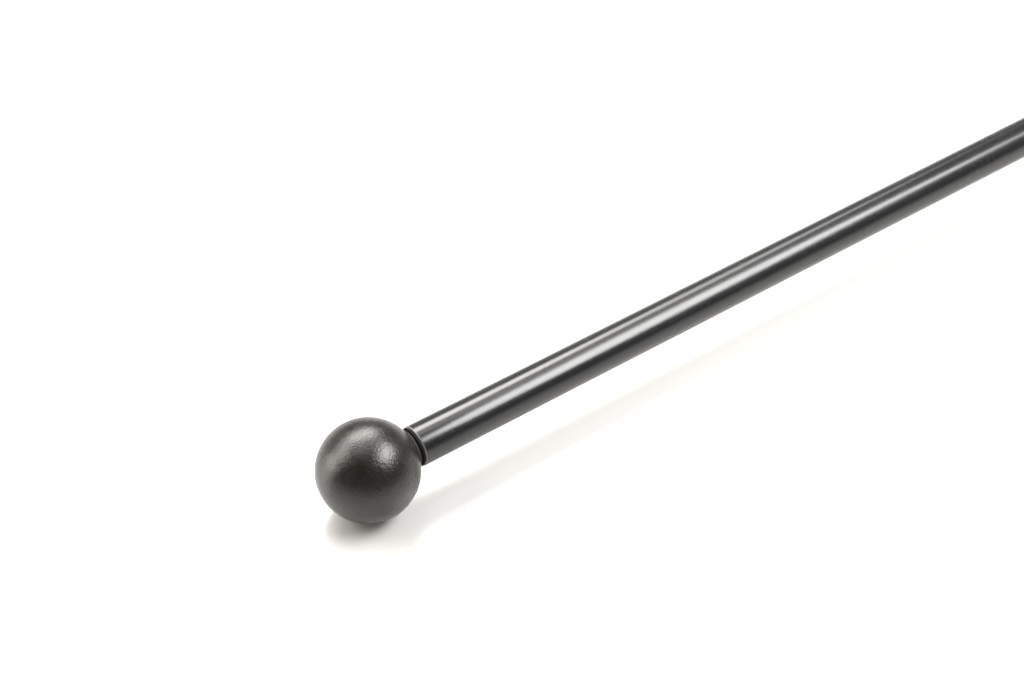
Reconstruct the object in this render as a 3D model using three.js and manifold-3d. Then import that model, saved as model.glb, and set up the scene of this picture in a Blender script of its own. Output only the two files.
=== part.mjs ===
// A devil stick: a straight black tube with a rubber ball screwed onto each end.
// Millimetres, +Z up. The stick lies along X and the origin is the middle of its axis.
//
// From the tube outwards each end holds a ribbed plastic insert pressed into the bore, a
// threaded bush moulded into that insert, a headless stud, and a ball with a bush of its own.

import * as THREE from "three";
import { mergeVertices } from "three/addons/utils/BufferGeometryUtils.js";
import Module from "manifold-3d";

// The whole stick.
const OVERALL_LENGTH = 650;
const BALL_DIAMETER = 38.5;
const BALL_CENTRE_TO_TUBE_END = 20.05;
const BALL_NECK_DIAMETER = 14.8;

// The tube.
const TUBE_DIAMETER = 16;
const TUBE_WALL = 1.2;
const TUBE_OUTER_ROUND = 0.6;
const TUBE_INNER_CHAMFER = 0.2;

// The ribbed insert. Its flange is the dark collar between the tube and the ball.
const FLANGE_DIAMETER = 15.5;
const FLANGE_THICKNESS = 1;
const FLANGE_ROUND = 0.3;
const SHANK_LENGTH = 20;
const SHANK_DIAMETER = 11.2;
const SHANK_TIP_TAPER = 1.2;
const RIB_COUNT = 4;
const RIB_PITCH = 4;
const RIB_THICKNESS = 1.4;
const FIRST_RIB_DEPTH = 2.6;
const RIB_CLEARANCE = 0.2;

// The M6 stud and the two threaded bushes. Threads are plain cylinders: the stud is at its
// thread's mean diameter, and the bores are at its outer diameter.
const THREAD_DIAMETER = 6;
const STUD_DIAMETER = 5.4;
const STUD_LENGTH = 25;
const STUD_DEPTH_IN_TUBE = 11.6;
const STUD_CHAMFER = 0.5;
const KEY_SIZE = 3;
const KEY_DEPTH = 3.5;
const INSERT_BUSH_DIAMETER = 9;
const INSERT_BUSH_LENGTH = 13;
const BALL_BUSH_DIAMETER = 10;
const BALL_BUSH_LENGTH = 14;
const BALL_BUSH_FLOOR = 2;
const BUSH_CHAMFER = 0.3;
const BUSH_GROOVE_WIDTH = 2;
const BUSH_GROOVE_DEPTH = 0.5;

// Gaps between pieces that touch.
const SEAT_GAP = 0.15;
const FACE_GAP = 0.3;
const MOULDED_GAP = 0.15;
const HOLE_END_GAP = 0.4;

// Facets round each turned piece, and steps along its rounded edges.
const TUBE_FACETS = 48;
const BALL_FACETS = 40;
const INSERT_FACETS = 32;
const BUSH_FACETS = 24;
const BALL_STEPS = 22;
const EDGE_STEPS = 3;
const MERGE_DISTANCE = 1e-4;

// Places along an end, counted outwards from the end face of the tube.
const TUBE_HALF_LENGTH = OVERALL_LENGTH / 2 - BALL_DIAMETER / 2 - BALL_CENTRE_TO_TUBE_END;
const FLANGE_BACK = SEAT_GAP;
const FLANGE_FRONT = FLANGE_BACK + FLANGE_THICKNESS;
const BALL_FACE = FLANGE_FRONT + FACE_GAP;
const INSERT_HOLE_END = FLANGE_FRONT - INSERT_BUSH_LENGTH - 2 * HOLE_END_GAP;
const BALL_HOLE_END = BALL_FACE + BALL_BUSH_LENGTH + MOULDED_GAP;

const MATERIALS = {
  tube: new THREE.MeshStandardMaterial({ color: 0x1b1b1c, roughness: 0.3, metalness: 0.4 }),
  rubber: new THREE.MeshStandardMaterial({ color: 0x2c2b29, roughness: 0.65, metalness: 0 }),
  nylon: new THREE.MeshStandardMaterial({ color: 0x131312, roughness: 0.6, metalness: 0 }),
  steel: new THREE.MeshStandardMaterial({ color: 0x9a9b9d, roughness: 0.35, metalness: 1 }),
  brass: new THREE.MeshStandardMaterial({ color: 0xb8963f, roughness: 0.35, metalness: 1 }),
};

const wasm = await Module();
wasm.setup();

// A point of a turned profile: how far from the axis, and how far along it.
function at(radius, along) {
  return new THREE.Vector2(radius, along);
}

// Points on an arc about (radius, along), by degrees from the outward radial direction.
function arc(radius, along, size, fromDegrees, toDegrees, steps) {
  const points = [];
  for (let i = 0; i <= steps; i += 1) {
    const degrees = fromDegrees + ((toDegrees - fromDegrees) * i) / steps;
    const angle = THREE.MathUtils.degToRad(degrees);
    points.push(at(radius + size * Math.cos(angle), along + size * Math.sin(angle)));
  }
  return points;
}

// Turns a profile about the X axis. Its outer side runs towards +X.
function turned(profile, facets) {
  const geometry = new THREE.LatheGeometry(profile, facets);
  geometry.rotateZ(-Math.PI / 2);
  return geometry;
}

function solidOf(geometry) {
  const bare = geometry.clone();
  bare.deleteAttribute("normal");
  bare.deleteAttribute("uv");
  const merged = mergeVertices(bare, MERGE_DISTANCE);
  const mesh = new wasm.Mesh({
    numProp: 3,
    vertProperties: merged.attributes.position.array,
    triVerts: new Uint32Array(merged.index.array),
  });
  return new wasm.Manifold(mesh);
}

function cutAway(geometry, cutter) {
  const result = solidOf(geometry).subtract(solidOf(cutter)).getMesh();
  const carved = new THREE.BufferGeometry();
  carved.setAttribute("position", new THREE.BufferAttribute(result.vertProperties, 3));
  carved.setIndex(new THREE.BufferAttribute(result.triVerts, 1));
  carved.computeVertexNormals();
  return carved;
}

function piece(name, geometry, material) {
  const mesh = new THREE.Mesh(geometry, material);
  mesh.name = name;
  return mesh;
}

function makeShaftTube() {
  const outer = TUBE_DIAMETER / 2;
  const bore = outer - TUBE_WALL;
  const roundFrom = TUBE_HALF_LENGTH - TUBE_OUTER_ROUND;
  const roundAxis = outer - TUBE_OUTER_ROUND;
  const chamferFrom = TUBE_HALF_LENGTH - TUBE_INNER_CHAMFER;
  const profile = [
    at(bore + TUBE_INNER_CHAMFER, -TUBE_HALF_LENGTH),
    ...arc(roundAxis, -roundFrom, TUBE_OUTER_ROUND, -90, 0, EDGE_STEPS),
    ...arc(roundAxis, roundFrom, TUBE_OUTER_ROUND, 0, 90, EDGE_STEPS),
    at(bore + TUBE_INNER_CHAMFER, TUBE_HALF_LENGTH),
    at(bore, chamferFrom),
    at(bore, -chamferFrom),
    at(bore + TUBE_INNER_CHAMFER, -TUBE_HALF_LENGTH),
  ];
  return piece("shaft_tube", turned(profile, TUBE_FACETS), MATERIALS.tube);
}

// One barbed rib: it slopes up towards the flange, so that it goes in and doesn't come out.
function rib(depth, core, crest) {
  const innerSide = -depth - RIB_THICKNESS;
  const crestStart = innerSide + RIB_THICKNESS * 0.6;
  return [at(core, innerSide), at(crest, crestStart), at(crest, -depth), at(core, -depth)];
}

function makeTubeInsert(side) {
  const core = SHANK_DIAMETER / 2;
  const crest = TUBE_DIAMETER / 2 - TUBE_WALL - RIB_CLEARANCE;
  const flangeRound = FLANGE_DIAMETER / 2 - FLANGE_ROUND;
  const hole = INSERT_BUSH_DIAMETER / 2 + MOULDED_GAP;
  const ribs = [];
  for (let i = RIB_COUNT - 1; i >= 0; i -= 1) {
    ribs.push(...rib(FIRST_RIB_DEPTH + i * RIB_PITCH, core, crest));
  }
  const profile = [
    at(0, -SHANK_LENGTH),
    at(core - SHANK_TIP_TAPER, -SHANK_LENGTH),
    at(core, -SHANK_LENGTH + SHANK_TIP_TAPER),
    ...ribs,
    at(core, FLANGE_BACK),
    ...arc(flangeRound, FLANGE_BACK + FLANGE_ROUND, FLANGE_ROUND, -90, 0, EDGE_STEPS),
    ...arc(flangeRound, FLANGE_FRONT - FLANGE_ROUND, FLANGE_ROUND, 0, 90, EDGE_STEPS),
    at(hole, FLANGE_FRONT),
    at(hole, INSERT_HOLE_END),
    at(0, INSERT_HOLE_END),
  ];
  return piece(`${side}_tube_insert`, turned(profile, INSERT_FACETS), MATERIALS.nylon);
}

// The outer side of a bush, with a groove at each given place that the plastic or rubber fills.
function bushOutside(radius, from, to, grooves) {
  const points = [at(radius - BUSH_CHAMFER, from), at(radius, from + BUSH_CHAMFER)];
  for (const middle of grooves) {
    const low = middle - BUSH_GROOVE_WIDTH / 2;
    const high = middle + BUSH_GROOVE_WIDTH / 2;
    points.push(at(radius, low), at(radius - BUSH_GROOVE_DEPTH, low));
    points.push(at(radius - BUSH_GROOVE_DEPTH, high), at(radius, high));
  }
  points.push(at(radius, to - BUSH_CHAMFER), at(radius - BUSH_CHAMFER, to));
  return points;
}

function makeInsertBush(side) {
  const bore = THREAD_DIAMETER / 2;
  const inner = FLANGE_FRONT - INSERT_BUSH_LENGTH;
  const middle = FLANGE_FRONT - INSERT_BUSH_LENGTH / 2;
  const profile = [
    at(bore + BUSH_CHAMFER, inner),
    ...bushOutside(INSERT_BUSH_DIAMETER / 2, inner, FLANGE_FRONT, [middle]),
    at(bore + BUSH_CHAMFER, FLANGE_FRONT),
    at(bore, FLANGE_FRONT - BUSH_CHAMFER),
    at(bore, inner + BUSH_CHAMFER),
    at(bore + BUSH_CHAMFER, inner),
  ];
  return piece(`${side}_insert_bush`, turned(profile, BUSH_FACETS), MATERIALS.steel);
}

// A headless stud with a hexagon socket in its outer end, for the key that drives it home.
function makeStud(side) {
  const radius = STUD_DIAMETER / 2;
  const inner = -STUD_DEPTH_IN_TUBE;
  const outer = inner + STUD_LENGTH;
  const rod = turned([
    at(0, inner),
    at(radius - STUD_CHAMFER, inner),
    at(radius, inner + STUD_CHAMFER),
    at(radius, outer - STUD_CHAMFER),
    at(radius - STUD_CHAMFER, outer),
    at(0, outer),
  ], BUSH_FACETS);
  const acrossCorners = KEY_SIZE / Math.cos(Math.PI / 6);
  const socket = new THREE.CylinderGeometry(acrossCorners / 2, acrossCorners / 2, 2 * KEY_DEPTH, 6);
  socket.rotateZ(-Math.PI / 2);
  socket.translate(outer, 0, 0);
  return piece(`${side}_stud`, cutAway(rod, socket), MATERIALS.steel);
}

// A ball with a short neck that ends flat against the flange, and a blind hole round its bush.
function makeBall(side) {
  const radius = BALL_DIAMETER / 2;
  const hole = BALL_BUSH_DIAMETER / 2 + MOULDED_GAP;
  const neck = BALL_NECK_DIAMETER / 2;
  const neckDegrees = THREE.MathUtils.radToDeg(Math.acos(neck / radius));
  const profile = [
    at(0, BALL_HOLE_END),
    at(hole, BALL_HOLE_END),
    at(hole, BALL_FACE),
    at(neck, BALL_FACE),
    ...arc(0, BALL_CENTRE_TO_TUBE_END, radius, -neckDegrees, 0, BALL_STEPS / 2),
    ...arc(0, BALL_CENTRE_TO_TUBE_END, radius, 0, 90, BALL_STEPS / 2).slice(1),
  ];
  return piece(`${side}_ball`, turned(profile, BALL_FACETS), MATERIALS.rubber);
}

function makeBallBush(side) {
  const bore = THREAD_DIAMETER / 2;
  const end = BALL_FACE + BALL_BUSH_LENGTH;
  const grooves = [BALL_FACE + BALL_BUSH_LENGTH / 3, end - BALL_BUSH_LENGTH / 3];
  const profile = [
    at(0, end - BALL_BUSH_FLOOR),
    at(bore, end - BALL_BUSH_FLOOR),
    at(bore, BALL_FACE + BUSH_CHAMFER),
    at(bore + BUSH_CHAMFER, BALL_FACE),
    ...bushOutside(BALL_BUSH_DIAMETER / 2, BALL_FACE, end, grooves),
    at(0, end),
  ];
  return piece(`${side}_ball_bush`, turned(profile, BUSH_FACETS), MATERIALS.brass);
}

// Everything that one end of the tube holds. The pieces are made for the +X end.
function makeEnd(side) {
  const end = new THREE.Group();
  end.add(makeTubeInsert(side), makeInsertBush(side), makeStud(side));
  end.add(makeBall(side), makeBallBush(side));
  return end;
}

const devilStick = new THREE.Group();
devilStick.add(makeShaftTube());

const rightEnd = makeEnd("right");
rightEnd.position.x = TUBE_HALF_LENGTH;
devilStick.add(rightEnd);

const leftEnd = makeEnd("left");
leftEnd.position.x = -TUBE_HALF_LENGTH;
leftEnd.rotation.z = Math.PI;
devilStick.add(leftEnd);

export default devilStick;
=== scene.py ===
import math

import bmesh
import bpy
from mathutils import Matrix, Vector


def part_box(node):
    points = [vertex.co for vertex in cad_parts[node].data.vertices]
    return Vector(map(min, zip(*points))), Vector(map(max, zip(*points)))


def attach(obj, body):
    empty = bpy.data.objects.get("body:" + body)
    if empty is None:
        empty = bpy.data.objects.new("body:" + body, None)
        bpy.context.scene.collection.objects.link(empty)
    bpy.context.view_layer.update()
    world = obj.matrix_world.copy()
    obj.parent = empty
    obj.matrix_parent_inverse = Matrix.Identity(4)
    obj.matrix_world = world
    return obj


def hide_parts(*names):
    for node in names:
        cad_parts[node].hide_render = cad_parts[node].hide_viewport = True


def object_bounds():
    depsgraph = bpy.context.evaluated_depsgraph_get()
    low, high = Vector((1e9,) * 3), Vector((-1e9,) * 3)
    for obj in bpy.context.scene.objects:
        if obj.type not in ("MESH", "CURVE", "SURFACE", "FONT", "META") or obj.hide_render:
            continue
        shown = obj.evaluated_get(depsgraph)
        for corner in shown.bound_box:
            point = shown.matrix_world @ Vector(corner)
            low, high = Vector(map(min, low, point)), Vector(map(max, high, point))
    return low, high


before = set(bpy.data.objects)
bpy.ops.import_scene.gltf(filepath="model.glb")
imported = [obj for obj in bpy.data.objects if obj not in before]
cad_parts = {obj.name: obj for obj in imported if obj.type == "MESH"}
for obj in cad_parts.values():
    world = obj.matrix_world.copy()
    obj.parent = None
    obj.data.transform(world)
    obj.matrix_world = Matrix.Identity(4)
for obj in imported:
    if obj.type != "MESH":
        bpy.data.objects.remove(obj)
cadBox = [list(corner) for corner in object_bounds()]

mm = 0.001

# Everything is placed from these facts of the frame.
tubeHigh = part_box("shaft_tube")[1]
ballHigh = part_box("right_ball")[1]
tubeHalfLength = tubeHigh.x
tubeRadius = tubeHigh.z
ballRadius = ballHigh.z
ballOffset = ballHigh.x - ballRadius - tubeHalfLength  # tube's end to the ball's centre
floorLevel = cadBox[0][2]

ends = {"left": -1, "right": 1}


cameraRig = {
    "lens": 61.5,  # mm, on a 36 mm sensor
    "heading": 36.1,  # degrees from +Y towards +X
    "lookDown": 42.24,  # degrees below the horizon
    "aimFromTubeEnd": (75.2 * mm, 42.7 * mm),  # the spot on the floor in the middle of the view
    "distance": 709.7 * mm,
}


def makeCamera(rig):
    heading, down = math.radians(rig["heading"]), math.radians(rig["lookDown"])
    forward = Vector((
        math.sin(heading) * math.cos(down),
        math.cos(heading) * math.cos(down),
        -math.sin(down),
    ))
    along, across = rig["aimFromTubeEnd"]
    aim = Vector((-tubeHalfLength + along, across, floorLevel))
    data = bpy.data.cameras.new("camera")
    data.lens = rig["lens"]
    data.clip_start = 0.01
    data.clip_end = 60
    camera = bpy.data.objects.new("camera", data)
    camera.location = aim - forward * rig["distance"]
    camera.rotation_euler = forward.to_track_quat("-Z", "Y").to_euler()
    bpy.context.collection.objects.link(camera)
    bpy.context.scene.camera = camera


makeCamera(cameraRig)
print("camera placed")


def linear(hexColour):
    channels = []
    for i in (0, 2, 4):
        value = int(hexColour[i:i + 2], 16) / 255
        channels.append(value / 12.92 if value <= 0.04045 else ((value + 0.055) / 1.055) ** 2.4)
    return (*channels, 1)


def perMillimetre(size):
    return 1 / (size * mm)  # a pattern's scale, from the size of one of its features


def addNode(tree, kind, inputs=None, **settings):
    node = tree.nodes.new(kind)
    for name, value in settings.items():
        setattr(node, name, value)
    for name, value in (inputs or {}).items():
        if isinstance(value, bpy.types.NodeSocket):
            tree.links.new(value, node.inputs[name])
        else:
            node.inputs[name].default_value = value
    return node


def startMaterial(name):
    material = bpy.data.materials.new(name)
    material.use_nodes = True
    tree = material.node_tree
    tree.nodes.clear()
    return material, tree


def endMaterial(tree, shader):
    addNode(tree, "ShaderNodeOutputMaterial", {"Surface": shader.outputs["BSDF"]})


# How far along the stick a point is from its middle. Both ends get the same finish from it.
def distanceFromMiddle(tree, place):
    parts = addNode(tree, "ShaderNodeSeparateXYZ", {"Vector": place})
    return addNode(tree, "ShaderNodeMath", {0: parts.outputs["X"]}, operation="ABSOLUTE")


tubeFinish = {
    "black": "19191a",
    "paintedEdgeHighlight": "78787a",  # painted highlight: a lighter grey on the tube's rounded end edge, standing in for the light that edge catches
    "paintedEdgeHighlightWidth": 0.65,  # mm
    "roughness": (0.23, 0.28),
    "drawLine": 0.35,  # mm, width of one drawing line round the tube
    "drawLineLength": 90,  # mm
    "drawLineDepth": 0.0006,  # mm
    "mottle": 14,  # mm, size of the cloudy patches in the gloss
    "lineShare": 0.45,  # how much the lines rule the gloss, and the patches the rest
    "ior": 1.56,  # sealed anodic oxide
}


# Drawn aluminium tube, satin polished and black anodised. The dyed oxide is a hard clear skin, so
# it shines like a dielectric, with fine straight lines from the drawing die and a faint mottle.
def makeTubeMaterial(finish):
    material, tree = startMaterial("blackAnodisedDrawnAluminium")
    place = addNode(tree, "ShaderNodeTexCoord").outputs["Object"]
    lineScale = (finish["drawLine"] / finish["drawLineLength"], 1, 1)
    stretched = addNode(tree, "ShaderNodeMapping", {"Vector": place, "Scale": lineScale})
    lines = addNode(tree, "ShaderNodeTexNoise", {
        "Vector": stretched.outputs["Vector"],
        "Scale": perMillimetre(finish["drawLine"]),
        "Detail": 3,
        "Roughness": 0.6,
    })
    mottle = addNode(tree, "ShaderNodeTexNoise", {
        "Vector": place,
        "Scale": perMillimetre(finish["mottle"]),
        "Detail": 5,
        "Roughness": 0.62,
    })
    blend = addNode(tree, "ShaderNodeMix", {
        0: finish["lineShare"],
        2: mottle.outputs["Fac"],
        3: lines.outputs["Fac"],
    }, data_type="FLOAT")
    roughness = addNode(tree, "ShaderNodeMapRange", {
        "Value": blend.outputs[0],
        "From Min": 0.35,
        "From Max": 0.65,
        "To Min": finish["roughness"][0],
        "To Max": finish["roughness"][1],
    })
    fromMiddle = distanceFromMiddle(tree, place)
    # Painted highlight: the rounded end edge gets a lighter grey, broken up by the mottle, in place
    # of the light it catches.
    atEdge = addNode(tree, "ShaderNodeMapRange", {
        "Value": fromMiddle.outputs[0],
        "From Min": tubeHalfLength - finish["paintedEdgeHighlightWidth"] * mm,
        "From Max": tubeHalfLength - 0.5 * finish["paintedEdgeHighlightWidth"] * mm,
    })
    breakUp = addNode(tree, "ShaderNodeMapRange", {
        "Value": mottle.outputs["Fac"],
        "From Min": 0.3,
        "From Max": 0.5,
        "To Min": 0.5,
    })
    paintedEdgeHighlight = addNode(tree, "ShaderNodeMath", {
        0: atEdge.outputs["Result"],
        1: breakUp.outputs["Result"],
    }, operation="MULTIPLY")
    colour = addNode(tree, "ShaderNodeMix", {
        0: paintedEdgeHighlight.outputs[0],
        6: linear(finish["black"]),
        7: linear(finish["paintedEdgeHighlight"]),
    }, data_type="RGBA")
    bump = addNode(tree, "ShaderNodeBump", {
        "Height": lines.outputs["Fac"],
        "Distance": finish["drawLineDepth"] * mm,
    })
    shader = addNode(tree, "ShaderNodeBsdfPrincipled", {
        "Base Color": colour.outputs[2],
        "Roughness": roughness.outputs["Result"],
        "IOR": finish["ior"],
        "Normal": bump.outputs["Normal"],
    })
    endMaterial(tree, shader)
    return material


rubberFinish = {
    "dark": "15120f",
    "bloom": "231e1b",
    "roughness": (0.26, 0.34),
    "grain": 0.6,  # mm, the mould's spark-eroded grain
    "grainDepth": 0.13,  # mm
    "wave": 4.5,  # mm, the slow unevenness left by shrinkage
    "waveDepth": 0.05,  # mm
    "bloomPatch": 9,  # mm
    "scuff": 2.4,  # mm
    "scuffCover": 0.72,  # higher leaves fewer scuffs
    "scuffed": "4a4540",
    "neckRoughness": 0.85,  # the neck's seat is left as it comes from the mould
    "neckSpan": (2.3, 3.2),  # mm from the tube's end, over which that fades out
    "pitShare": 0.35,  # how much of the grain is round pits
    "ior": 1.52,
}


# Moulded rubber. The mould's spark-eroded grain breaks its shine into small sparkles, a thin waxy
# bloom greys it in soft patches, and a few pale scuffs come from handling.
def makeRubberMaterial(finish):
    material, tree = startMaterial("mouldedBlackRubber")
    place = addNode(tree, "ShaderNodeTexCoord").outputs["Object"]
    grain = addNode(tree, "ShaderNodeTexNoise", {
        "Vector": place,
        "Scale": perMillimetre(finish["grain"]),
        "Detail": 2,
        "Roughness": 0.6,
    })
    pits = addNode(tree, "ShaderNodeTexVoronoi", {
        "Vector": place,
        "Scale": perMillimetre(finish["grain"] * 1.6),
        "Smoothness": 0.7,
    }, feature="SMOOTH_F1")
    wave = addNode(tree, "ShaderNodeTexNoise", {
        "Vector": place,
        "Scale": perMillimetre(finish["wave"]),
        "Detail": 1,
    })
    bloom = addNode(tree, "ShaderNodeTexNoise", {
        "Vector": place,
        "Scale": perMillimetre(finish["bloomPatch"]),
        "Detail": 6,
        "Roughness": 0.66,
    })
    bloomAmount = addNode(tree, "ShaderNodeMapRange", {
        "Value": bloom.outputs["Fac"],
        "From Min": 0.4,
        "From Max": 0.68,
    })
    bloomed = addNode(tree, "ShaderNodeMix", {
        0: bloomAmount.outputs["Result"],
        6: linear(finish["dark"]),
        7: linear(finish["bloom"]),
    }, data_type="RGBA")
    streaks = addNode(tree, "ShaderNodeMapping", {"Vector": place, "Scale": (0.3, 1, 1.6)})
    scuff = addNode(tree, "ShaderNodeTexNoise", {
        "Vector": streaks.outputs["Vector"],
        "Scale": perMillimetre(finish["scuff"]),
        "Detail": 4,
        "Roughness": 0.7,
        "Distortion": 0.6,
    })
    scuffAmount = addNode(tree, "ShaderNodeMapRange", {
        "Value": scuff.outputs["Fac"],
        "From Min": finish["scuffCover"] - 0.04,
        "From Max": finish["scuffCover"] + 0.03,
    })
    colour = addNode(tree, "ShaderNodeMix", {
        0: scuffAmount.outputs["Result"],
        6: bloomed.outputs[2],
        7: linear(finish["scuffed"]),
    }, data_type="RGBA")
    roughness = addNode(tree, "ShaderNodeMapRange", {
        "Value": bloom.outputs["Fac"],
        "From Min": 0.35,
        "From Max": 0.65,
        "To Min": finish["roughness"][0],
        "To Max": finish["roughness"][1],
    })
    fromMiddle = distanceFromMiddle(tree, place)
    onNeck = addNode(tree, "ShaderNodeMapRange", {
        "Value": fromMiddle.outputs[0],
        "From Min": tubeHalfLength + finish["neckSpan"][0] * mm,
        "From Max": tubeHalfLength + finish["neckSpan"][1] * mm,
        "To Min": 1,
        "To Max": 0,
    })
    roughnessWithNeck = addNode(tree, "ShaderNodeMix", {
        0: onNeck.outputs["Result"],
        2: roughness.outputs["Result"],
        3: finish["neckRoughness"],
    }, data_type="FLOAT")
    waved = addNode(tree, "ShaderNodeBump", {
        "Height": wave.outputs["Fac"],
        "Distance": finish["waveDepth"] * mm,
    })
    height = addNode(tree, "ShaderNodeMix", {
        0: finish["pitShare"],
        2: grain.outputs["Fac"],
        3: pits.outputs["Distance"],
    }, data_type="FLOAT")
    bump = addNode(tree, "ShaderNodeBump", {
        "Height": height.outputs[0],
        "Distance": finish["grainDepth"] * mm,
        "Normal": waved.outputs["Normal"],
    })
    shader = addNode(tree, "ShaderNodeBsdfPrincipled", {
        "Base Color": colour.outputs[2],
        "Roughness": roughnessWithNeck.outputs[0],
        "IOR": finish["ior"],
        "Normal": bump.outputs["Normal"],
    })
    endMaterial(tree, shader)
    return material


nylonFinish = {
    "black": "0d0c0c",
    "roughness": (0.6, 0.72),
    "specular": 0.12,  # painted shade: shine cut well below a plain plastic's, as the collar sits in the shade between the ball and the tube
    "grain": 0.25,  # mm
    "grainDepth": 0.004,  # mm
}


# Injection-moulded black nylon, matt from a fine vapour-blasted mould. Its colour is darker and its
# shine weaker than plain black nylon's: painted shade for the collar, which sits between the ball
# and the tube.
def makeNylonMaterial(finish):
    material, tree = startMaterial("mouldedBlackNylon")
    place = addNode(tree, "ShaderNodeTexCoord").outputs["Object"]
    grain = addNode(tree, "ShaderNodeTexNoise", {
        "Vector": place,
        "Scale": perMillimetre(finish["grain"]),
        "Detail": 3,
    })
    roughness = addNode(tree, "ShaderNodeMapRange", {
        "Value": grain.outputs["Fac"],
        "From Min": 0.35,
        "From Max": 0.65,
        "To Min": finish["roughness"][0],
        "To Max": finish["roughness"][1],
    })
    bump = addNode(tree, "ShaderNodeBump", {
        "Height": grain.outputs["Fac"],
        "Distance": finish["grainDepth"] * mm,
    })
    # Painted shade: the near-black colour and the low shine darken the collar where it sits in
    # shade.
    shader = addNode(tree, "ShaderNodeBsdfPrincipled", {
        "Base Color": linear(finish["black"]),
        "Roughness": roughness.outputs["Result"],
        "Specular IOR Level": finish["specular"],
        "Normal": bump.outputs["Normal"],
    })
    endMaterial(tree, shader)
    return material


# Steel that is turned and then bright zinc plated, which dulls the tool's marks, and brass that is
# turned and left bare. mark and depth are the width and depth of a tool mark in mm.
metalFinishes = {
    "zincPlatedSteel": {"colour": "c3c5c8", "roughness": (0.28, 0.42), "mark": 0.3, "depth": 0.003},
    "turnedBrass": {"colour": "c9a55a", "roughness": (0.22, 0.36), "mark": 0.15, "depth": 0.004},
}
ringScale = (1, 0.05, 0.05)  # the marks run round the axis, so they are long across X


def makeTurnedMetal(name, finish):
    material, tree = startMaterial(name)
    place = addNode(tree, "ShaderNodeTexCoord").outputs["Object"]
    squeezed = addNode(tree, "ShaderNodeMapping", {"Vector": place, "Scale": ringScale})
    rings = addNode(tree, "ShaderNodeTexNoise", {
        "Vector": squeezed.outputs["Vector"],
        "Scale": perMillimetre(finish["mark"]),
        "Detail": 4,
    })
    roughness = addNode(tree, "ShaderNodeMapRange", {
        "Value": rings.outputs["Fac"],
        "From Min": 0.3,
        "From Max": 0.7,
        "To Min": finish["roughness"][0],
        "To Max": finish["roughness"][1],
    })
    bump = addNode(tree, "ShaderNodeBump", {
        "Height": rings.outputs["Fac"],
        "Distance": finish["depth"] * mm,
    })
    shader = addNode(tree, "ShaderNodeBsdfPrincipled", {
        "Base Color": linear(finish["colour"]),
        "Metallic": 1,
        "Roughness": roughness.outputs["Result"],
        "Normal": bump.outputs["Normal"],
    })
    endMaterial(tree, shader)
    return material


anodised = makeTubeMaterial(tubeFinish)
rubber = makeRubberMaterial(rubberFinish)
nylon = makeNylonMaterial(nylonFinish)
steel = makeTurnedMetal("zincPlatedSteel", metalFinishes["zincPlatedSteel"])
brass = makeTurnedMetal("turnedBrass", metalFinishes["turnedBrass"])
print("materials made")


def arc(radius, along, size, fromDegrees, toDegrees, steps):
    points = []
    for i in range(steps + 1):
        angle = math.radians(fromDegrees + (toDegrees - fromDegrees) * i / steps)
        points.append((radius + size * math.cos(angle), along + size * math.sin(angle)))
    return points


# Turns a profile of (radius, distance along X) points about the X axis. A profile that starts and
# ends on the axis is a solid, and any other is closed into a ring.
def turn(name, profile, segments, material, startX=0.0, side=1, smoothAngle=32):
    solid = profile[0][0] == 0 and profile[-1][0] == 0
    mesh = bpy.data.meshes.new(name)
    shape = bmesh.new()
    rings = []
    for radius, along in profile:
        x = side * (startX + along)
        if radius == 0:
            rings.append([shape.verts.new((x, 0, 0))])
            continue
        ring = []
        for i in range(segments):
            angle = 2 * math.pi * i / segments
            ring.append(shape.verts.new((x, radius * math.sin(angle), radius * math.cos(angle))))
        rings.append(ring)
    pairs = list(zip(rings, rings[1:]))
    if not solid:
        pairs.append((rings[-1], rings[0]))
    for one, two in pairs:
        for i in range(segments):
            j = (i + 1) % segments
            corners = [one[i % len(one)], one[j % len(one)], two[j % len(two)], two[i % len(two)]]
            shape.faces.new(dict.fromkeys(corners))
    bmesh.ops.recalc_face_normals(shape, faces=shape.faces)
    shape.to_mesh(mesh)
    shape.free()
    mesh.polygons.foreach_set("use_smooth", [True] * len(mesh.polygons))
    mesh.set_sharp_from_angle(angle=math.radians(smoothAngle))
    mesh.materials.append(material)
    piece = bpy.data.objects.new(name, mesh)
    bpy.context.collection.objects.link(piece)
    return piece


def settle(piece, node):
    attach(piece, "root")
    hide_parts(node)


tubeShape = {
    "wall": 1.2 * mm,
    "outerRound": 0.65 * mm,
    "innerChamfer": 0.2 * mm,
    "segments": 160,
    "stations": 24,  # rings along the tube, which keep its long faces from being slivers
}


def makeTube(shape):
    bore = tubeRadius - shape["wall"]
    edge = shape["outerRound"]
    axis = tubeRadius - edge
    chamfer = shape["innerChamfer"]
    end = tubeHalfLength
    stations = shape["stations"]
    straight = [
        (tubeRadius, -end + edge + (2 * end - 2 * edge) * i / stations)
        for i in range(1, stations)
    ]
    bored = [(bore, -point[1]) for point in straight]
    profile = [
        (bore + chamfer, -end),
        *arc(axis, -end + edge, edge, -90, 0, 6),
        *straight,
        *arc(axis, end - edge, edge, 0, 90, 6),
        (bore + chamfer, end),
        (bore, end - chamfer),
        *bored,
        (bore, -end + chamfer),
    ]
    tube = turn("tubeShell", profile, shape["segments"], anodised)
    settle(tube, "shaft_tube")


makeTube(tubeShape)


insertShape = {
    "seatGap": 0.1 * mm,
    "flangeRadius": 7.75 * mm,
    "flangeThickness": 1.05 * mm,
    "flangeRound": 0.3 * mm,
    "shankLength": 20 * mm,
    "shankRadius": 5.6 * mm,
    "tipTaper": 1.2 * mm,
    "ribs": 4,
    "ribPitch": 4 * mm,
    "ribThickness": 1.4 * mm,
    "firstRib": 2.6 * mm,
    "ribRadius": 6.6 * mm,
    "holeRadius": 4.65 * mm,
    "holeDepth": 13.8 * mm,
    "segments": 128,
}


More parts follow.
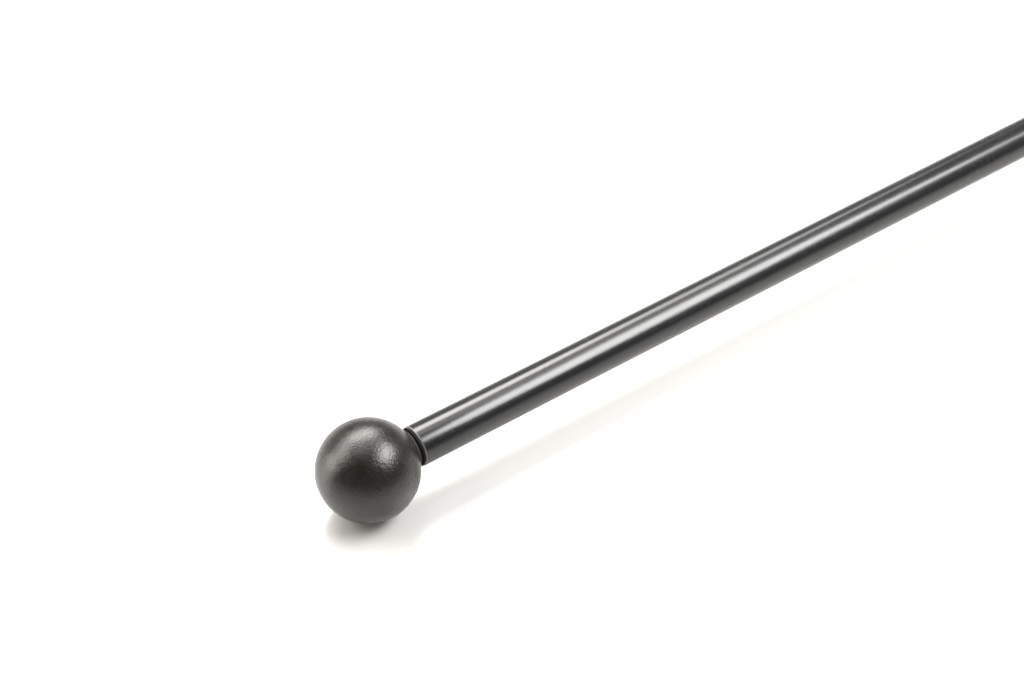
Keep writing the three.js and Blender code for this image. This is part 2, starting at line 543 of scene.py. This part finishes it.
def makeInsert(sideName, side, shape):
    back = shape["seatGap"]
    front = back + shape["flangeThickness"]
    soft = shape["flangeRound"]
    rimAxis = shape["flangeRadius"] - soft
    core, crest = shape["shankRadius"], shape["ribRadius"]
    ribs = []
    for i in reversed(range(shape["ribs"])):
        outerSide = -shape["firstRib"] - i * shape["ribPitch"]
        innerSide = outerSide - shape["ribThickness"]
        crestStart = innerSide + 0.6 * shape["ribThickness"]
        ribs += [(core, innerSide), (crest, crestStart), (crest, outerSide), (core, outerSide)]
    profile = [
        (0, -shape["shankLength"]),
        (core - shape["tipTaper"], -shape["shankLength"]),
        (core, -shape["shankLength"] + shape["tipTaper"]),
        *ribs,
        (core, back),
        *arc(rimAxis, back + soft, soft, -90, 0, 6),
        *arc(rimAxis, front - soft, soft, 0, 90, 6),
        (shape["holeRadius"], front),
        (shape["holeRadius"], front - shape["holeDepth"]),
        (0, front - shape["holeDepth"]),
    ]
    name = sideName + "RibbedInsert"
    insert = turn(name, profile, shape["segments"], nylon, tubeHalfLength, side)
    settle(insert, sideName + "_tube_insert")


ballShape = {
    "face": 1.45 * mm,  # tube's end to the flat face of the ball's neck
    "neckRadius": 7.4 * mm,
    "neckRound": 0.25 * mm,
    "neckFillet": 0.35 * mm,  # where the neck flows into the ball
    "holeRadius": 5.15 * mm,
    "holeDepth": 14.15 * mm,
    "segments": 192,
    "rings": 96,
}


def makeBall(sideName, side, shape):
    face = shape["face"]
    neck = shape["neckRadius"]
    soft = shape["neckRound"]
    fillet = shape["neckFillet"]
    # The fillet's circle touches both the neck's side and, from outside, the sphere.
    filletRadius = neck + fillet
    filletRise = math.sqrt((ballRadius + fillet) ** 2 - filletRadius ** 2)
    filletAlong = ballOffset - filletRise
    touch = math.degrees(math.atan2(filletRise, filletRadius))
    profile = [
        (0, face + shape["holeDepth"]),
        (shape["holeRadius"], face + shape["holeDepth"]),
        (shape["holeRadius"], face),
        *arc(neck - soft, face + soft, soft, -90, 0, 4),
        *arc(filletRadius, filletAlong, fillet, 180, 180 - touch, 4),
        *arc(0, ballOffset, ballRadius, -touch, 90, shape["rings"])[1:-1],
        (0, ballOffset + ballRadius),
    ]
    ball = turn(sideName + "RubberBall", profile, shape["segments"], rubber, tubeHalfLength, side)
    settle(ball, sideName + "_ball")


for sideName, side in ends.items():
    makeInsert(sideName, side, insertShape)
    makeBall(sideName, side, ballShape)
print("turned pieces made")


def startNodeTree(name, sockets):
    tree = bpy.data.node_groups.new(name, "GeometryNodeTree")
    for label, kind in sockets:
        tree.interface.new_socket(label, in_out="INPUT", socket_type=kind)
    tree.interface.new_socket("Geometry", in_out="OUTPUT", socket_type="NodeSocketGeometry")
    given = addNode(tree, "NodeGroupInput").outputs
    return tree, given


# Every tree ends the same way: laid along X, moved into place, made real, given its material.
def endNodeTree(tree, given, geometry):
    place = addNode(tree, "ShaderNodeCombineXYZ", {"X": given["Start"]})
    lying = addNode(tree, "GeometryNodeTransform", {
        "Geometry": geometry,
        "Translation": place.outputs[0],
        "Rotation": (0, math.pi / 2, 0),
    })
    real = addNode(tree, "GeometryNodeRealizeInstances", {"Geometry": lying.outputs[0]})
    coated = addNode(tree, "GeometryNodeSetMaterial", {
        "Geometry": real.outputs[0],
        "Material": given["Material"],
    })
    addNode(tree, "NodeGroupOutput", {"Geometry": coated.outputs[0]})


# A ridge of triangular section wound round the axis.
def makeThreadTree():
    tree, given = startNodeTree("screwThread", [
        ("Start", "NodeSocketFloat"),
        ("Length", "NodeSocketFloat"),
        ("Pitch", "NodeSocketFloat"),
        ("Crest Radius", "NodeSocketFloat"),
        ("Ridge Size", "NodeSocketFloat"),
        ("Steps Per Turn", "NodeSocketInt"),
        ("Material", "NodeSocketMaterial"),
    ])
    turns = addNode(tree, "ShaderNodeMath", {
        0: given["Length"],
        1: given["Pitch"],
    }, operation="DIVIDE")
    axis = addNode(tree, "ShaderNodeMath", {
        0: given["Crest Radius"],
        1: given["Ridge Size"],
    }, operation="SUBTRACT")
    helix = addNode(tree, "GeometryNodeCurveSpiral", {
        "Resolution": given["Steps Per Turn"],
        "Rotations": turns.outputs[0],
        "Start Radius": axis.outputs[0],
        "End Radius": axis.outputs[0],
        "Height": given["Length"],
    })
    upright = addNode(tree, "GeometryNodeSetCurveNormal", {"Curve": helix.outputs[0]}, mode="Z_UP")
    section = addNode(tree, "GeometryNodeCurvePrimitiveCircle", {
        "Resolution": 3,
        "Radius": given["Ridge Size"],
    })
    pointingOut = addNode(tree, "GeometryNodeTransform", {
        "Geometry": section.outputs[0],
        "Rotation": (0, 0, math.pi),
    })
    ridge = addNode(tree, "GeometryNodeCurveToMesh", {
        "Curve": upright.outputs[0],
        "Profile Curve": pointingOut.outputs[0],
        "Fill Caps": True,
    })
    flat = addNode(tree, "GeometryNodeSetShadeSmooth", {
        "Geometry": ridge.outputs[0],
        "Shade Smooth": False,
    })
    endNodeTree(tree, given, flat.outputs[0])
    return tree


# Straight ridges set evenly round the axis.
def makeKnurlTree():
    tree, given = startNodeTree("straightKnurl", [
        ("Start", "NodeSocketFloat"),
        ("Length", "NodeSocketFloat"),
        ("Count", "NodeSocketInt"),
        ("Radius", "NodeSocketFloat"),
        ("Ridge Size", "NodeSocketFloat"),
        ("Material", "NodeSocketMaterial"),
    ])
    around = addNode(tree, "GeometryNodeMeshCircle", {
        "Vertices": given["Count"],
        "Radius": given["Radius"],
    })
    ridge = addNode(tree, "GeometryNodeMeshCylinder", {
        "Vertices": 6,
        "Radius": given["Ridge Size"],
        "Depth": given["Length"],
    })
    ridges = addNode(tree, "GeometryNodeInstanceOnPoints", {
        "Points": around.outputs[0],
        "Instance": ridge.outputs[0],
    })
    half = addNode(tree, "ShaderNodeMath", {0: given["Length"], 1: 0.5}, operation="MULTIPLY")
    lift = addNode(tree, "ShaderNodeCombineXYZ", {"Z": half.outputs[0]})
    standing = addNode(tree, "GeometryNodeTransform", {
        "Geometry": ridges.outputs[0],
        "Translation": lift.outputs[0],
    })
    endNodeTree(tree, given, standing.outputs[0])
    return tree


# Runs a tree on an empty mesh and keeps the result as a plain mesh with one material.
def growPiece(name, tree, values):
    mesh = bpy.data.meshes.new(name)
    piece = bpy.data.objects.new(name, mesh)
    bpy.context.collection.objects.link(piece)
    modifier = piece.modifiers.new(tree.name, "NODES")
    modifier.node_group = tree
    for item in tree.interface.items_tree:
        if item.in_out == "INPUT":
            modifier[item.identifier] = values[item.name]
    evaluated = piece.evaluated_get(bpy.context.evaluated_depsgraph_get())
    grown = bpy.data.meshes.new_from_object(evaluated)
    grown.name = name
    grown.materials.clear()
    grown.materials.append(values["Material"])
    grown.polygons.foreach_set("material_index", [0] * len(grown.polygons))
    piece.modifiers.remove(modifier)
    piece.data = grown
    bpy.data.meshes.remove(mesh)
    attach(piece, "root")


thread = {
    "pitch": 1 * mm,
    "crestRadius": 2.97 * mm,  # an M6 thread, just inside its hole
    "ridge": 0.3 * mm,
    "endSpace": 0.6 * mm,
    "steps": 36,
}
knurl = {
    "count": 40,
    "ridge": 0.16 * mm,
    "standProud": 0.11 * mm,
    "endSpace": 1.2 * mm,
}


def makeThreadsAndKnurls():
    threadTree = makeThreadTree()
    knurlTree = makeKnurlTree()
    for sideName in ends:
        low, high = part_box(sideName + "_stud")
        growPiece(sideName + "StudThread", threadTree, {
            "Start": low.x + thread["endSpace"],
            "Length": high.x - low.x - 2 * thread["endSpace"],
            "Pitch": thread["pitch"],
            "Crest Radius": thread["crestRadius"],
            "Ridge Size": thread["ridge"],
            "Steps Per Turn": thread["steps"],
            "Material": steel,
        })
        bushes = [
            ("_insert_bush", "InsertBushKnurl", steel, "zinc_plated_steel"),
            ("_ball_bush", "BallBushKnurl", brass, "brass_bush"),
        ]
        for node, ending, material, slot in bushes:
            low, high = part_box(sideName + node)
            growPiece(sideName + ending, knurlTree, {
                "Start": low.x + knurl["endSpace"],
                "Length": high.x - low.x - 2 * knurl["endSpace"],
                "Count": knurl["count"],
                "Radius": high.z + knurl["standProud"] - knurl["ridge"],
                "Ridge Size": knurl["ridge"],
                "Material": material,
            })


makeThreadsAndKnurls()
print("threads and knurls grown")


# The bushes and studs keep their own shape and get only a material.
keptNodes = {"_insert_bush": steel, "_stud": steel, "_ball_bush": brass}


def dressKeptNodes():
    for sideName in ends:
        for ending, material in keptNodes.items():
            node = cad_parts[sideName + ending]
            node.data.materials.clear()
            node.data.materials.append(material)


dressKeptNodes()
print("kept pieces dressed")


studio = {
    "floorColour": "cdccca",
    "floorSize": 24,  # m
    "floorRoughness": 0.2,
    "boardGrain": 1.5,  # mm, the brush marks of the paint
    "boardGrainDepth": 0.01,  # mm
    "sweepStart": 0.55,  # m from the stick, where the floor starts to glow like a lit backdrop
    "sweepFull": 1.7,  # m
    "sweepGlow": 0.95,
    "airBack": 0.4,  # the room's light from behind the stick
    "airFront": 0.2,
    "airSeen": "f3f2f0",  # the backdrop's own colour
}

# Each lamp is a lit rectangle: its centre and size in metres, how strongly its face shines in
# watts per square metre, and the spot it faces.
softboxes = {
    "backStripLeft": {
        "centre": (-1.05, 0.88, 1.08),
        "size": (1.1, 0.7),
        "shine": 26,
        "colour": "fffcf8",
        "aim": (-0.5, 0, 0),
    },
    "backStripMiddle": {
        "centre": (0.02, 0.88, 1.12),
        "size": (1.04, 0.62),
        "shine": 50,
        "colour": "fffcf8",
        "aim": (-0.1, 0, 0),
    },
    "backStripRight": {
        "centre": (0.75, 0.88, 1.12),
        "size": (0.42, 0.56),
        "shine": 22,
        "colour": "fffcf8",
        "aim": (0.1, 0, 0),
    },
    "frontBox": {
        "centre": (0.47, -0.5, 1.1),
        "size": (0.95, 0.62),
        "shine": 56,
        "colour": "fffefc",
        "aim": (-0.14, 0, 0),
    },
    "overheadPanel": {
        "centre": (0.1, 0.2, 1.3),
        "size": (1.6, 0.45),
        "shine": 9,
        "colour": "ffffff",
        "aim": (0.1, 0.2, 0),
    },
    "lowCard": {
        "centre": (-1.2, 0.72, 0.3),
        "size": (0.6, 0.5),
        "shine": 26,
        "colour": "fffaf3",
        "aim": (-0.3, 0, 0),
    },
}


# Satin white painted board. It gives the stick a faint mirror image, and far away it glows like the
# lit backdrop it would run up into.
def makeFloor():
    material, tree = startMaterial("satinWhiteBoard")
    place = addNode(tree, "ShaderNodeTexCoord").outputs["Object"]
    grain = addNode(tree, "ShaderNodeTexNoise", {
        "Vector": place,
        "Scale": perMillimetre(studio["boardGrain"]),
    })
    bump = addNode(tree, "ShaderNodeBump", {
        "Height": grain.outputs["Fac"],
        "Distance": studio["boardGrainDepth"] * mm,
    })
    away = addNode(tree, "ShaderNodeVectorMath", {0: place}, operation="LENGTH")
    glow = addNode(tree, "ShaderNodeMapRange", {
        "Value": away.outputs["Value"],
        "From Min": studio["sweepStart"],
        "From Max": studio["sweepFull"],
        "To Max": studio["sweepGlow"],
    }, interpolation_type="SMOOTHSTEP")
    shader = addNode(tree, "ShaderNodeBsdfPrincipled", {
        "Base Color": linear(studio["floorColour"]),
        "Roughness": studio["floorRoughness"],
        "Normal": bump.outputs["Normal"],
        "Emission Color": linear(studio["airSeen"]),
        "Emission Strength": glow.outputs["Result"],
    })
    endMaterial(tree, shader)
    half = studio["floorSize"] / 2
    corners = [(-half, -half), (half, -half), (half, half), (-half, half)]
    mesh = bpy.data.meshes.new("floor")
    mesh.from_pydata([(x, y, floorLevel) for x, y in corners], [], [(0, 1, 2, 3)])
    mesh.materials.append(material)
    floor = bpy.data.objects.new("floor", mesh)
    bpy.context.collection.objects.link(floor)


def makeSoftbox(name, box):
    data = bpy.data.lights.new(name, "AREA")
    data.shape = "RECTANGLE"
    data.size, data.size_y = box["size"]
    data.energy = box["shine"] * box["size"][0] * box["size"][1]
    data.color = linear(box["colour"])[:3]
    lamp = bpy.data.objects.new(name, data)
    centre = Vector(box["centre"])
    lamp.location = centre
    lamp.rotation_euler = (Vector(box["aim"]) - centre).to_track_quat("-Z", "Y").to_euler()
    lamp.visible_camera = False
    bpy.context.collection.objects.link(lamp)


# The room is bright behind the stick, dim in front of it and dark overhead, where the lamps are.
# The camera sees a pale backdrop instead.
def makeAir():
    world = bpy.data.worlds.new("studioAir")
    bpy.context.scene.world = world
    world.use_nodes = True
    tree = world.node_tree
    tree.nodes.clear()
    direction = addNode(tree, "ShaderNodeTexCoord").outputs["Generated"]
    split = addNode(tree, "ShaderNodeSeparateXYZ", {"Vector": direction})
    around = addNode(tree, "ShaderNodeMapRange", {
        "Value": split.outputs["Y"],
        "From Min": -0.5,
        "From Max": 0.6,
        "To Min": studio["airFront"],
        "To Max": studio["airBack"],
    })
    strength = addNode(tree, "ShaderNodeMapRange", {
        "Value": split.outputs["Z"],
        "From Min": 0.35,
        "From Max": 0.65,
        "To Min": around.outputs["Result"],
        "To Max": 0,
    })
    room = addNode(tree, "ShaderNodeBackground", {"Strength": strength.outputs["Result"]})
    backdrop = addNode(tree, "ShaderNodeBackground", {"Color": linear(studio["airSeen"])})
    path = addNode(tree, "ShaderNodeLightPath")
    mix = addNode(tree, "ShaderNodeMixShader", {
        0: path.outputs["Is Camera Ray"],
        1: room.outputs[0],
        2: backdrop.outputs[0],
    })
    addNode(tree, "ShaderNodeOutputWorld", {"Surface": mix.outputs[0]})


makeFloor()
for name, box in softboxes.items():
    makeSoftbox(name, box)
makeAir()
view = bpy.context.scene.view_settings
view.view_transform = "Standard"
view.look = "None"
print("studio lit")
